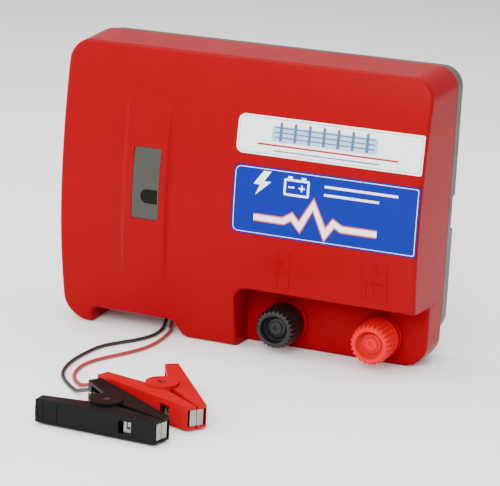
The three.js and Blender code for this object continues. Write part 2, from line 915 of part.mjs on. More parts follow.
// ---------------------------------------------------------------- battery clips
const outerSlope = (clip.tailHalf - clip.tipHalf) / (clip.tip + clip.tail);
const outerAt = (u) => clip.tipHalf + outerSlope * (clip.tip - u);
const slopeLength = Math.hypot(1, outerSlope);

// Half of the clip seen from above, on the positive side of its long axis.
function halfOutline(inset) {
  const tailBack = clip.tail - inset;
  const tailInner = [
    -tailBack - (clip.tailWidth * outerSlope) / slopeLength,
    outerAt(-tailBack) - clip.tailWidth / slopeLength + inset,
  ];
  return polygon([
    [clip.tip + inset, outerAt(clip.tip + inset) - inset * slopeLength],
    [-tailBack, outerAt(-tailBack) - inset * slopeLength],
    tailInner,
    ...clip.neck,
    [clip.hub, clip.throat],
    [clip.tip - 4, clip.jawLine],
    [clip.tip + inset, clip.jawLine],
  ]);
}

const hubDisc = (radius, z0, z1) => rodZ(0, 0, radius, z0, z1, 24);

// The fixed half carries the outer hub discs; the other half's hub turns between them.
const discDeep = 1.2;
const innerHub = { top: clip.high - discDeep - gap, deep: 1.7 };

function windowBlock() {
  const angle = -Math.atan(outerSlope);
  const { back, width, height } = clip.window;
  const at = clip.tip - back;
  const middle = (clip.low + clip.high) / 2;
  return solid(
    new THREE.BoxGeometry(width, width, height)
      .rotateZ(angle)
      .translate(at, outerAt(at), middle),
  );
}

function clipHalf(isFixed) {
  const { low, high, skin, hub } = clip;
  const middle = (low + high) / 2;
  const mirrored = (manifold) => {
    const flipped = manifold.translate(0, 0, -middle).mirror([0, 0, 1]).translate(0, 0, middle);
    return manifold.add(flipped);
  };
  const body = upright(halfOutline(0), low, high, 4);
  const channel = upright(halfOutline(skin), low + skin, high - skin, 4);
  const openSide = upright(
    polygon([
      [clip.tip + 5, -1],
      [clip.tip + 5, clip.tipHalf - skin * slopeLength],
      [-clip.tail + 5, outerAt(-clip.tail + 5) - skin * slopeLength],
      [-clip.tail - 5, 0],
      [0, -1],
    ]),
    low + skin,
    high - skin,
  );
  const ribs = clip.ribs.map((u) =>
    block(u, u + clip.ribWidth, outerAt(u) - 6, outerAt(u) - 1, low + 1, high - 1),
  );
  let shape = cut(body, channel, openSide, windowBlock()).add(join(...ribs).intersect(body));
  if (isFixed) {
    shape = cut(shape, hubDisc(hub + gap, low + discDeep, high - discDeep));
    shape = shape.add(mirrored(hubDisc(hub, high - discDeep, high + clip.discProud)));
  } else {
    const hubPlate = join(
      hubDisc(hub - gap, innerHub.top - innerHub.deep, innerHub.top),
      upright(halfOutline(0), high - skin - 2, innerHub.top + 0.01, 4).intersect(
        hubDisc(hub + 5, low, high),
      ),
    );
    shape = cut(shape, hubDisc(hub + gap, innerHub.top, high + 1));
    shape = cut(shape, hubDisc(hub + gap, low - 1, 2 * middle - innerHub.top));
    shape = shape.add(mirrored(hubPlate));
  }
  const leadHole = solid(
    new THREE.CylinderGeometry(clip.leadHole, clip.leadHole, 14, 8)
      .rotateZ(Math.PI / 2 + Math.atan2(clip.leadSlope[1], clip.leadSlope[0]))
      .translate(...clip.leadHoleAt, middle),
  );
  const holes = [rodZ(0, 0, clip.pinRadius + gap, low - over, high + over, 14)];
  if (isFixed) holes.push(leadHole);
  return cut(shape, ...holes);
}

// Toothed metal strip along the meeting line, folded over the jaw's end.
function jawStrip() {
  const { tip, low, high, skin, hub } = clip;
  const metal = 0.8;
  const teeth = 10;
  const toothTip = 0.2; // from the meeting line
  const toothRoot = 0.9;
  const stripBack = toothRoot + metal;
  const start = hub + 1.2;
  const flap = start + 12; // where the folded flap ends
  const pitch = (tip - metal - start) / teeth;
  const flapFace = (u) => outerAt(u) - skin * slopeLength - gap;
  const points = [];
  for (let i = 0; i < teeth; i += 1) {
    points.push([start + pitch * i, toothRoot]);
    points.push([start + pitch * (i + 0.5), toothTip]);
  }
  points.push([tip - metal, toothTip]);
  points.push([tip - gap, toothTip]);
  points.push([tip - gap, flapFace(tip)]);
  points.push([flap, flapFace(flap)]);
  points.push([flap, flapFace(flap) - metal]);
  points.push([tip - gap - metal, flapFace(tip) - metal]);
  points.push([tip - gap - metal, stripBack]);
  points.push([start, stripBack]);
  return upright(polygon(points), low + skin + gap, high - skin - gap, 2);
}

// Torsion spring around the pin, one leg towards each handle.
function clipSpring() {
  const radius = 4.6;
  const spring = 0.55; // wire radius
  const turns = 3.4;
  const [z0, z1] = [6.2, 10.6];
  const steps = 30;
  const points = [[-9, 5.6, z0]]; // the leg's end
  const startAngle = Math.PI * 0.5;
  for (let i = 0; i <= steps; i += 1) {
    const share = i / steps;
    const angle = startAngle - share * turns * 2 * Math.PI;
    points.push([radius * Math.cos(angle), radius * Math.sin(angle), z0 + (z1 - z0) * share]);
  }
  return tube(points, spring, 6, 40);
}

function batteryClip(name, material, leadSide) {
  const group = new THREE.Group();
  group.position.set(...clipPivot[name], 0);
  group.rotation.z = THREE.MathUtils.degToRad(clipTurn[name]);
  energizer.add(group);
  const sided = (manifold, side) => (side > 0 ? manifold : manifold.mirror([0, 1, 0]));
  place(`${name}_clip_fixed_handle`, sided(clipHalf(true), leadSide), material, group);
  place(`${name}_clip_moving_handle`, sided(clipHalf(false), -leadSide), material, group);
  place(`${name}_clip_fixed_jaw`, sided(jawStrip(), leadSide), steel, group);
  place(`${name}_clip_moving_jaw`, sided(jawStrip(), -leadSide), steel, group);
  const pin = rodZ(0, 0, clip.pinRadius, clip.low - 0.6, clip.high + 0.7, 14);
  place(`${name}_clip_pin`, pin, steel, group);
  place(`${name}_clip_spring`, clipSpring(), steel, group);
}

batteryClip("black", finish(0x3a3c3c, 0.5), 1);
batteryClip("red", finish(0xd81a1f, 0.4), -1);

// ---------------------------------------------------------------- battery leads
// Each lead leaves the gland, lies on the ground and ends inside its clip's fixed handle.
const onGround = wireRadius + 0.05;
const leadEntry = [
  [-50, 27.6, 2.1],
  [-42, 24.6, 4.8],
  [-32, 20.8, 8.4],
  [-22, 17, 8.4],
  [-13, 13.4, 8.4],
];

function lead(name, side, groundPoints, leadSide, material) {
  const x = gland.x + side * gland.spread;
  const y = gland.y - originSetback;
  const turn = THREE.MathUtils.degToRad(clipTurn[name]);
  const inClip = leadEntry.map(([u, v, z]) =>
    new THREE.Vector3(u, v * leadSide, z)
      .applyAxisAngle(Z, turn)
      .add(new THREE.Vector3(...clipPivot[name], 0))
      .toArray(),
  );
  const points = [
    [x, y, notchTop - 2 - gap],
    [x, y - 1.2, 5.6],
    [x + 0.8, y - 6, 2.4],
    [x + 2, y - 11, 1.5],
    ...groundPoints.map(([px, py]) => [px, py, onGround]),
    ...inClip,
  ];
  place(`battery_lead_${name}`, tube(points, wireRadius, 8, 38), material, energizer);
}

lead(
  "black",
  -1,
  [
    [-54.5, -14],
    [-54, -30],
    [-58.5, -43],
    [-66, -55],
    [-73, -68],
    [-75.5, -84],
    [-76, -100],
    [-74, -116],
    [-69, -130],
    [-61, -141],
  ],
  1,
  finish(0x3c332f, 0.5),
);
lead(
  "red",
  1,
  [
    [-48.5, -14],
    [-45.5, -38],
    [-47.5, -57],
    [-54, -74],
    [-61, -88],
    [-65.5, -101],
    [-66, -113],
    [-63, -126],
    [-57, -136],
  ],
  -1,
  finish(0xb8443c, 0.5),
);

export default energizer;
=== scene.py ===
"""Fence energizer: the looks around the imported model.

Lengths are in millimetres until a mesh is made. The camera and the lights are placed in metres.
"""

import json
from math import cos, pi, radians, sin

import bmesh
import bpy
import numpy as np
from mathutils import Matrix, Vector
from mathutils.geometry import delaunay_2d_cdt


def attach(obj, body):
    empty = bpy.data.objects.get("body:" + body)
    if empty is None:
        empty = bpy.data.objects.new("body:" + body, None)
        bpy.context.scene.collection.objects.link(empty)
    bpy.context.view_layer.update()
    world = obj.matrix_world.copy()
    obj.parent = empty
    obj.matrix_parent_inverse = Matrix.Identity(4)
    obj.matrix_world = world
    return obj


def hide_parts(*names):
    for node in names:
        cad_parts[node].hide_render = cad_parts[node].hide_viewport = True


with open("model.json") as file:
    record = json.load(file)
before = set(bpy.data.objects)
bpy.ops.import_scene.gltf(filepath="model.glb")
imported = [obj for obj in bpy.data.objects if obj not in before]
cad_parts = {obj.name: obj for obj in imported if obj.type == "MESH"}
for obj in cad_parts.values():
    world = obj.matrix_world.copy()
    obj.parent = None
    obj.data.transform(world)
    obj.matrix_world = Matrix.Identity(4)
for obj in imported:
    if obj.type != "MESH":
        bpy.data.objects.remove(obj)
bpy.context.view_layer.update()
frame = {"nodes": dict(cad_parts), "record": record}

MM = 0.001


# ---------------------------------------------------------------- camera
def add_camera():
    """The view of a product photo: from the right and above, rolled a little."""
    azimuth, elevation, roll = radians(21.44), radians(15.18), radians(2.80)
    distance = 1.3518
    target = Vector((-0.0005, -0.0005, 0.0649))
    sensor, focal_pixels, image_width = 36.0, 2074.97, 500
    back = Vector((sin(azimuth) * cos(elevation), -cos(azimuth) * cos(elevation), sin(elevation)))
    right = Vector((cos(azimuth), sin(azimuth), 0))
    up = back.cross(right)
    turned_right = right * cos(roll) + up * sin(roll)
    turned_up = up * cos(roll) - right * sin(roll)
    data = bpy.data.cameras.new("camera")
    data.sensor_width = sensor
    data.lens = focal_pixels * sensor / image_width
    camera = bpy.data.objects.new("camera", data)
    turn = Matrix((turned_right, turned_up, back)).transposed()
    camera.matrix_world = Matrix.Translation(target + back * distance) @ turn.to_4x4()
    bpy.context.scene.collection.objects.link(camera)
    bpy.context.scene.camera = camera


add_camera()


# ---------------------------------------------------------------- battery leads
WIRE_RADIUS = 1.2
GLAND = (-56.0, 3.5, 9.0)  # where both leads leave the underside
GLAND_SPREAD = 2.3
ON_GROUND = 1.25
CLIP_PIVOT = {"black": (-8.0, -195.0), "red": (7.5, -152.0)}
CLIP_TURN = {"black": radians(-17), "red": radians(-37.4)}
LEAD_SIDE = {"black": 1, "red": -1}  # the clip's half that holds the lead
LEAD_GROUND = {
    "black": [(-54.5, -14), (-54, -30), (-58.5, -43), (-66, -55), (-73, -68), (-75.5, -84)]
    + [(-76, -100), (-74, -116), (-69, -130), (-61, -141)],
    "red": [(-48.5, -14), (-45.5, -38), (-47.5, -57), (-54, -74), (-61, -88), (-65.5, -101)]
    + [(-66, -113), (-63, -126), (-57, -136)],
}
LEAD_FALL = ((0, -1.2, 5.6), (0.8, -6, 2.4), (2, -11, 1.5))  # x and y from the gland, and height
LEAD_POINTS = 40
LEAD_IN_CLIP = ((-50, 27.6, 2.1), (-42, 24.6, 4.8), (-32, 20.8, 8.4), (-22, 17, 8.4), (-13, 13.4, 8.4))


def clip_place(colour, u, v, z):
    """A point along (u) and across (v) a clip's long axis, in the row frame."""
    turn, (x, y) = CLIP_TURN[colour], CLIP_PIVOT[colour]
    return x + u * cos(turn) - v * sin(turn), y + u * sin(turn) + v * cos(turn), z


def smooth_route(points, count):
    """Evenly spaced points along a centripetal Catmull-Rom curve."""
    points = np.array(points, float)
    points = np.vstack((2 * points[0] - points[1], points, 2 * points[-1] - points[-2]))
    knots = np.concatenate(([0], np.cumsum(np.linalg.norm(np.diff(points, axis=0), axis=1) ** 0.5)))
    fine = []
    for i in range(1, len(points) - 2):
        t0, t1, t2, t3 = knots[i - 1 : i + 3]
        t = np.linspace(t1, t2, 30, endpoint=i == len(points) - 3)[:, None]
        p0, p1, p2, p3 = points[i - 1 : i + 3]
        a1 = (t1 - t) / (t1 - t0) * p0 + (t - t0) / (t1 - t0) * p1
        a2 = (t2 - t) / (t2 - t1) * p1 + (t - t1) / (t2 - t1) * p2
        a3 = (t3 - t) / (t3 - t2) * p2 + (t - t2) / (t3 - t2) * p3
        b1 = (t2 - t) / (t2 - t0) * a1 + (t - t0) / (t2 - t0) * a2
        b2 = (t3 - t) / (t3 - t1) * a2 + (t - t1) / (t3 - t1) * a3
        fine.append((t2 - t) / (t2 - t1) * b1 + (t - t1) / (t2 - t1) * b2)
    fine = np.vstack(fine)
    along = np.concatenate(([0], np.cumsum(np.linalg.norm(np.diff(fine, axis=0), axis=1))))
    spaced = np.linspace(0, along[-1], count)
    return np.column_stack([np.interp(spaced, along, fine[:, k]) for k in range(3)]), along[-1]


def battery_lead(colour, side):
    x, y, z = GLAND[0] + side * GLAND_SPREAD, GLAND[1], GLAND[2]
    route = [(x, y, z), *[(x + dx, y + dy, height) for dx, dy, height in LEAD_FALL]]
    route += [(px, py, ON_GROUND) for px, py in LEAD_GROUND[colour]]
    route += [clip_place(colour, u, v * LEAD_SIDE[colour], height) for u, v, height in LEAD_IN_CLIP]
    points, length = smooth_route(route, LEAD_POINTS)
    points[:, 2] = np.maximum(points[:, 2], WIRE_RADIUS)
    data = bpy.data.curves.new(f"lead_{colour}", "CURVE")
    data.dimensions = "3D"
    data.bevel_depth = 1.0  # thickness comes from each point's radius
    data.bevel_resolution = 5
    data.resolution_u = 4
    data.use_fill_caps = True
    line = data.splines.new("BEZIER")
    line.bezier_points.add(len(points) - 1)
    for knot, point in zip(line.bezier_points, points):
        knot.co = point * MM
        knot.handle_left_type = knot.handle_right_type = "AUTO"
        knot.radius = WIRE_RADIUS * MM
    lead = bpy.data.objects.new(f"lead_{colour}", data)
    bpy.context.scene.collection.objects.link(lead)
    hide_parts(f"battery_lead_{colour}")
    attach(lead, "housing")
    return lead


leads = {"black": battery_lead("black", -1), "red": battery_lead("red", 1)}


# ---------------------------------------------------------------- housing dimensions
SEAM = 20.3  # back edge of the front cover
FRONT_EDGE = -20.5  # front cover's upper and lower front edges
COVER_DEPTH = SEAM - FRONT_EDGE
SIDE = 125.9  # half width at the seam
TOP = 192.0
CORNER = 14.0
LEFT_FOOT, RIGHT_FOOT = 18.0, 16.0  # radii of the lower corners
NOTCH_ROUND = 3.5
NOTCH_LIP = 1.6
DRAFT_X, DRAFT_Z = 0.0195, 0.0105
NOTCH_LEFT, NOTCH_RIGHT, NOTCH_END, NOTCH_TOP = -104.6, -48.0, -34.3, 11.3
BAY_LEFT, BAY_TOP, BAY_CORNER, BAY_FACE = 1.0, 42.6, 9.5, -4.2
WINDOW = (-70.2, -51.0, 80.2, 127.4)
WHITE_AREA = (-1.0, 121.5, 131.8, 156.4)
BLUE_AREA = (-1.0, 122.0, 80.6, 124.6)
REAR_SIDE, REAR_BOTTOM, REAR_TOP = 125.6, 13.6, 191.0
TERMINALS = (("earth", 29.5), ("fence", 94.0))
TERMINAL_HEIGHT = 18.0

BULGE_HEIGHTS = (0, 35, 70, 105, 140, 165, 190)
BULGE_FORWARD = (0.2, 8.4, 12.7, 13.1, 9.6, 6.0, 0.0)
BULGE = np.polyfit(BULGE_HEIGHTS, BULGE_FORWARD, 5)


# ---------------------------------------------------------------- outlines
def arc(cx, cz, radius, start, end, step=7.5):
    """Points on an arc, angles in degrees, both ends included."""
    count = max(2, int(abs(end - start) / step) + 1)
    angles = np.radians(np.linspace(start, end, count))
    return np.column_stack((cx + radius * np.cos(angles), cz + radius * np.sin(angles)))


def bezier(a, b, c, d, count=12):
    t = np.linspace(0, 1, count)[:, None]
    a, b, c, d = (np.array(p, float) for p in (a, b, c, d))
    return a * (1 - t) ** 3 + 3 * b * t * (1 - t) ** 2 + 3 * c * t**2 * (1 - t) + d * t**3


def closed(*parts, step=4.0):
    """One loop from runs of points, without doubled points or edges longer than step."""
    points = np.vstack([np.atleast_2d(np.array(part, float)) for part in parts])
    keep = np.linalg.norm(points - np.roll(points, 1, axis=0), axis=1) > 1e-3
    points = points[keep]
    out = []
    for a, b in zip(points, np.roll(points, -1, axis=0)):
        cuts = max(1, int(np.ceil(np.linalg.norm(b - a) / step)))
        out += [a + (b - a) * i / cuts for i in range(cuts)]
    return np.array(out)


def rounded_rect(x0, x1, z0, z1, radius, step=4.0, turn=11.25):
    return closed(
        arc(x0 + radius, z0 + radius, radius, 180, 270, turn),
        arc(x1 - radius, z0 + radius, radius, 270, 360, turn),
        arc(x1 - radius, z1 - radius, radius, 0, 90, turn),
        arc(x0 + radius, z1 - radius, radius, 90, 180, turn),
        step=step,
    )


def circle(cx, cz, radius, count=32):
    return arc(cx, cz, radius, 0, 360, 360 / count)[:-1]


def inset(loop, distance):
    """A counter-clockwise loop moved inwards by distance along its corner bisectors."""
    ahead = np.roll(loop, -1, axis=0) - loop
    ahead /= np.linalg.norm(ahead, axis=1)[:, None]
    normal = np.column_stack((-ahead[:, 1], ahead[:, 0]))
    before = np.roll(normal, 1, axis=0)
    along = (before + normal) / (1 + (before * normal).sum(1))[:, None]
    return loop + along * distance


FAR = 30.0  # clear of the housing
BAY_ROUND = 1.6  # rounding of the bay's front edges
BAY_WALL = 1.1  # how far the bay's walls slope in
BAY_INNER_ROUND = 1.2
BAY_STEPS = (
    *(BAY_ROUND * (np.sin(np.linspace(0, pi / 2, 6)) - 1)),
    BAY_WALL / 2,
    *(BAY_WALL + BAY_INNER_ROUND * (1 - np.cos(np.linspace(0, pi / 2, 4)))),
)


def cover_outline():
    """The front cover at the seam, counter-clockwise from its lower left corner."""
    half = (NOTCH_RIGHT + NOTCH_END) / 2
    return closed(
        arc(-SIDE + LEFT_FOOT, LEFT_FOOT, LEFT_FOOT, 180, 270),
        arc(NOTCH_LEFT - NOTCH_LIP, NOTCH_LIP, NOTCH_LIP, 270, 360, 15),
        arc(NOTCH_LEFT + NOTCH_ROUND, NOTCH_TOP - NOTCH_ROUND, NOTCH_ROUND, 180, 90, 11.25),
        bezier((NOTCH_RIGHT, NOTCH_TOP), (half, NOTCH_TOP), (half, 0), (NOTCH_END, 0)),
        [(BAY_LEFT + step, 0) for step in BAY_STEPS],
        arc(SIDE - RIGHT_FOOT, RIGHT_FOOT, RIGHT_FOOT, 270, 360),
        [(SIDE, BAY_TOP - step) for step in reversed(BAY_STEPS)],
        arc(SIDE - CORNER, TOP - CORNER, CORNER, 0, 90),
        arc(-SIDE + CORNER, TOP - CORNER, CORNER, 90, 180),
    )


def rear_opening(flange=6.0):
    """The opening inside the flange that the rear cover is screwed to."""
    side = REAR_SIDE - flange
    return rounded_rect(-side, side, REAR_BOTTOM + flange, REAR_TOP - flange, CORNER - flange)


def bay_outline():
    return closed(
        [(BAY_LEFT, -FAR), (SIDE + FAR, -FAR), (SIDE + FAR, BAY_TOP)],
        arc(BAY_LEFT + BAY_CORNER, BAY_TOP - BAY_CORNER, BAY_CORNER, 90, 180),
        step=3.0,
    )


def signed_distance(points, loop):
    """Distance of each point to a loop, positive inside it."""
    points = np.atleast_2d(points)
    a, b = loop, np.roll(loop, -1, axis=0)
    edge = b - a
    best = np.full(len(points), np.inf)
    inside = np.zeros(len(points), bool)
    for start, along, end in zip(a, edge, b):
        offset = points - start
        share = np.clip((offset @ along) / (along @ along), 0, 1)
        best = np.minimum(best, ((offset - share[:, None] * along) ** 2).sum(1))
        crosses = (start[1] > points[:, 1]) != (end[1] > points[:, 1])
        if crosses.any():
            at = start[0] + (points[:, 1] - start[1]) * along[0] / (along[1] or 1e-12)
            inside ^= crosses & (points[:, 0] < at)
    return np.where(inside, 1, -1) * np.sqrt(best)


# ---------------------------------------------------------------- relief surfaces
POINT_GAP = 0.9  # loose points nearer than this to a loop are left out
WELD = 0.004  # vertices nearer than this become one


def triangulate(outer, loops=(), extra=(), holes=()):
    """Triangles inside the outer loop that keep every loop as edges."""
    coords, edges = [], []
    for loop in [outer, *holes, *loops]:
        first = len(coords)
        coords += list(loop)
        edges += [(first + i, first + (i + 1) % len(loop)) for i in range(len(loop))]
    for cloud in extra:
        taken = np.array(coords)
        for block in np.array_split(cloud, max(1, len(cloud) // 400)):
            gaps = np.linalg.norm(block[:, None] - taken[None], axis=2).min(1)
            coords += list(block[gaps > POINT_GAP])
    points = [Vector(c) for c in coords]
    verts, _, faces, *_ = delaunay_2d_cdt(points, edges, [], 0, 1e-5)
    flat = np.array([tuple(v) for v in verts])
    tris = np.array([tuple(f) for f in faces])
    middles = flat[tris].mean(axis=1)
    keep = signed_distance(middles, outer) > 0
    for hole in holes:
        keep &= signed_distance(middles, hole) < 0
    used, tris = np.unique(tris[keep], return_inverse=True)
    return flat[used], tris.reshape(-1, 3)


def grid_points(x0, x1, z0, z1, step_x, step_z):
    xs = np.arange(x0, x1 + step_x / 2, step_x)
    zs = np.arange(z0, z1 + step_z / 2, step_z)
    return np.array([(x, z) for x in xs for z in zs])


def ring_depths(radius, steps):
    """Distances in from an edge where a rounding needs a ring of points, the edge itself left out."""
    return radius * (1 - np.sin(np.linspace(0, pi / 2, steps + 1)[:-1]))


def ordered_boundary(tris):
    """The edges used by one triangle only, as loops of vertex numbers."""
    once = {}
    for a, b, c in tris:
        for edge in ((a, b), (b, c), (c, a)):
            if edge[::-1] in once:
                del once[edge[::-1]]
            else:
                once[edge] = True
    after = dict(once.keys())
    loops = []
    while after:
        start, at = after.popitem()
        loop = [start]
        while at != start:
            loop.append(at)
            at = after.pop(at)
        loops.append(loop)
    return loops


class Build:
    """Collects vertices and faces in millimetres and turns them into an object."""

    def __init__(self):
        self.verts, self.faces, self.slots = [], [], []

    def add(self, verts, faces, slot=0):
        first = len(self.verts)
        self.verts += [tuple(v) for v in verts]
        self.faces += [tuple(first + i for i in face) for face in faces]
        self.slots += [slot] * len(faces)
        return first

    def strips(self, rings, closed_ring=True, slot=0, caps=(False, False)):
        """Quads between rings of equal length, and flat caps over the end rings if asked."""
        count = len(rings[0])
        first = self.add(np.vstack(rings), [], slot)
        faces = []
        for r in range(len(rings) - 1):
            for i in range(count if closed_ring else count - 1):
                j = (i + 1) % count
                a, b = first + r * count, first + (r + 1) * count
                faces.append((a + i, a + j, b + j, b + i))
        if caps[0]:
            faces.append(tuple(first + i for i in reversed(range(count))))
        if caps[1]:
            faces.append(tuple(first + (len(rings) - 1) * count + i for i in range(count)))
        self.faces += faces
        self.slots += [slot] * len(faces)

    def object(self, name, materials, sharp=32, weighted=True):
        data = bpy.data.meshes.new(name)
        data.from_pydata([(x * MM, y * MM, z * MM) for x, y, z in self.verts], [], self.faces)
        shape = bmesh.new()
        shape.from_mesh(data)
        for face, slot in zip(shape.faces, self.slots):
            face.material_index = slot
        bmesh.ops.remove_doubles(shape, verts=shape.verts, dist=WELD * MM)
        bmesh.ops.recalc_face_normals(shape, faces=shape.faces)
        shape.to_mesh(data)
        shape.free()
        for material in materials:
            data.materials.append(material)
        data.shade_smooth()
        data.set_sharp_from_angle(angle=radians(sharp))
        made = bpy.data.objects.new(name, data)
        bpy.context.scene.collection.objects.link(made)
        if weighted:
            even = made.modifiers.new("even_normals", "WEIGHTED_NORMAL")
            even.keep_sharp = True
        return made


def at_depth(loop, y):
    """A loop of (x, z) points as (x, y, z) points."""
    return np.column_stack((loop[:, 0], np.broadcast_to(y, len(loop)), loop[:, 1]))


def annulus(build, outer, inner, y):
    flat, tris = triangulate(outer, holes=[inner])
    build.add(at_depth(flat, y), tris)


def loop_turns_left(loop):
    ahead = np.roll(loop, -1, axis=0)
    return (loop[:, 0] * ahead[:, 1] - ahead[:, 0] * loop[:, 1]).sum() > 0


def draft_scale(y):
    """How much the front cover narrows at depth y: factors for x and z."""
    forward = (SEAM - y) / COVER_DEPTH
    return 1 - DRAFT_X * forward, 1 - DRAFT_Z * forward


# ---------------------------------------------------------------- front cover
EDGE_ROUND = 2.6  # rounding of the front cover's outer front edge
SEAM_CHAMFER = 0.4
FLANGE = 5.0  # thickness of the flange behind the seam
RIDGE = (-78.6, -44.2, 37.0, 156.0)  # foot of the raised band
RIDGE_SLOPE = (4.4, 3.6)  # width of its left and right slopes
RIDGE_RISE = 2.1
RIDGE_END = 0.3  # share of the slopes' width left at the band's two ends
FACE_GRID = (-120, 120, 4, 187, 5, 5)  # loose points over the whole face


def front_surface(z):
    """Y of the smooth bulged front at height z."""
    return FRONT_EDGE - np.polyval(BULGE, np.clip(z, 0, TOP))


def smooth(t):
    t = np.clip(t, 0, 1)
    return t * t * (3 - 2 * t)


def ridge_rise(x, z):
    """Height of the raised band, whose slopes are widest at its middle."""
    x0, x1, z0, z1 = RIDGE
    left, right = RIDGE_SLOPE
    swell = np.sin(pi * np.clip((z - z0) / (z1 - z0), 0, 1))
    width = RIDGE_END + (1 - RIDGE_END) * swell
    up_left = smooth((x - x0) / (left * width))
    up_right = smooth((x1 - right - x) / (right * width) + 1)
    return RIDGE_RISE * swell**0.7 * up_left * up_right


def round_drop(distance, radius):
    """How far a rounded edge falls away at a distance in from it."""
    left = np.clip(radius - distance, 0, radius)
    return radius - np.sqrt(radius**2 - left**2)


def box_distance(points, area, radius):
    """Distance to a rounded rectangle, positive inside it."""
    x0, x1, z0, z1 = area
    half = np.array([(x1 - x0) / 2 - radius, (z1 - z0) / 2 - radius])
    offset = np.abs(points - [(x0 + x1) / 2, (z0 + z1) / 2]) - half
    outside = np.linalg.norm(np.maximum(offset, 0), axis=1)
    return radius - outside - np.minimum(offset.max(axis=1), 0)


def bay_distance(points):
    """Distance into the terminal bay from its left and top edges."""
    dx, dz = points[:, 0] - BAY_LEFT, BAY_TOP - points[:, 1]
    corner = BAY_CORNER - np.hypot(BAY_CORNER - dx, BAY_CORNER - dz)
    return np.where((dx < BAY_CORNER) & (dz < BAY_CORNER), corner, np.minimum(dx, dz))


def bay_surface(surface, depth_in):
    """The surface carried down the bay's rounded edge, sloping wall and inner corner."""
    floor = BAY_FACE
    lip = surface + round_drop(-depth_in, BAY_ROUND)
    share = np.clip(depth_in / BAY_WALL, 0, 1)
    wall = (surface + BAY_ROUND) * (1 - share) + (floor - BAY_INNER_ROUND) * share
    beyond = np.clip(BAY_WALL + BAY_INNER_ROUND - depth_in, 0, BAY_INNER_ROUND)
    inner = floor - BAY_INNER_ROUND + np.sqrt(BAY_INNER_ROUND**2 - beyond**2)
    out = np.where(depth_in < 0, lip, np.where(depth_in < BAY_WALL, wall, inner))
    return np.where(depth_in < -BAY_ROUND, surface, out)


# Small steps moulded into the face: (area, corner radius, rise, slope width).
PADS = (
    ((23.6, 39.6, 58.6, 72.6), 1.0, 0.35, 0.25),
    ((23.6, 39.6, 47.6, 57.0), 1.0, 0.35, 0.25),
    ((88.0, 104.6, 47.6, 73.2), 1.0, 0.35, 0.25),
    (WINDOW, 1.6, -1.5, 0.15),
)
LABEL_AREAS = (WHITE_AREA, BLUE_AREA)
LABEL_POCKET = (0.55, 0.25)  # depth and slope of the shallow pockets under the labels
POCKET_GAP = 0.3  # room around a label in its pocket


def pocket_outline(area):
    return label_outline(area, -POCKET_GAP)


def bar(x0, x1, z0, z1):
    return np.array([(x0, z0), (x1, z0), (x1, z1), (x0, z1)], float)


def moulded_symbols():
    """Generic marks by the terminals: a ground symbol, a fence post, and a fence with a bolt."""
    ground_x, ground_z = 31.6, 65.6
    marks = [bar(ground_x - 0.4, ground_x + 0.4, ground_z, ground_z + 5)]
    marks += [
        bar(ground_x - half, ground_x + half, ground_z - 0.1 - drop, ground_z + 0.7 - drop)
        for half, drop in ((4.6, 0.9), (3.0, 2.7), (1.4, 4.5))
    ]
    post_x = 31.6
    marks += [bar(post_x - 0.5, post_x + 0.5, 48.6, 54.4), bar(post_x - 2, post_x + 2, 54.8, 55.8)]
    fence = (90.6, 96.0, 101.4)
    marks += [bar(x - 0.45, x + 0.45, 49.6, 58.6) for x in fence]
    marks += [bar(89.4, 102.8, z, z + 0.6) for z in (59.1, 60.4)]
    bolt = [(96.6, 72.0), (93.6, 66.9), (95.8, 66.9), (94.6, 62.2)]
    bolt += [(99.0, 68.2), (96.6, 68.2), (98.6, 72.0)]
    marks.append(np.array(bolt, float))
    return marks


SYMBOL_RISE = 0.3
SYMBOL_SLOPE = 0.12


def cover_height(points, outline):
    """Y of the front cover's face at points (x, z)."""
    x, z = points[:, 0], points[:, 1]
    y = front_surface(z) - ridge_rise(x, z)
    for area, radius, rise, slope in PADS:
        y -= rise * np.clip(box_distance(points, area, radius) / slope, 0, 1)
    for area in LABEL_AREAS:
        depth, slope = LABEL_POCKET
        y += depth * np.clip(signed_distance(points, pocket_outline(area)) / slope, 0, 1)
    for mark in moulded_symbols():
        y -= SYMBOL_RISE * np.clip(signed_distance(points, mark) / SYMBOL_SLOPE, 0, 1)
    y = bay_surface(y, bay_distance(points))
    return y + round_drop(signed_distance(points, outline), EDGE_ROUND)


def tapered_outline(seam_outline):
    """The seam outline carried forward to where the front face meets the sides."""
    shape = seam_outline.copy()
    for _ in range(4):
        y = bay_surface(front_surface(shape[:, 1]), bay_distance(shape)) + EDGE_ROUND
        scale_x, scale_z = draft_scale(y)
        shape = np.column_stack((seam_outline[:, 0] * scale_x, seam_outline[:, 1] * scale_z))
    return shape


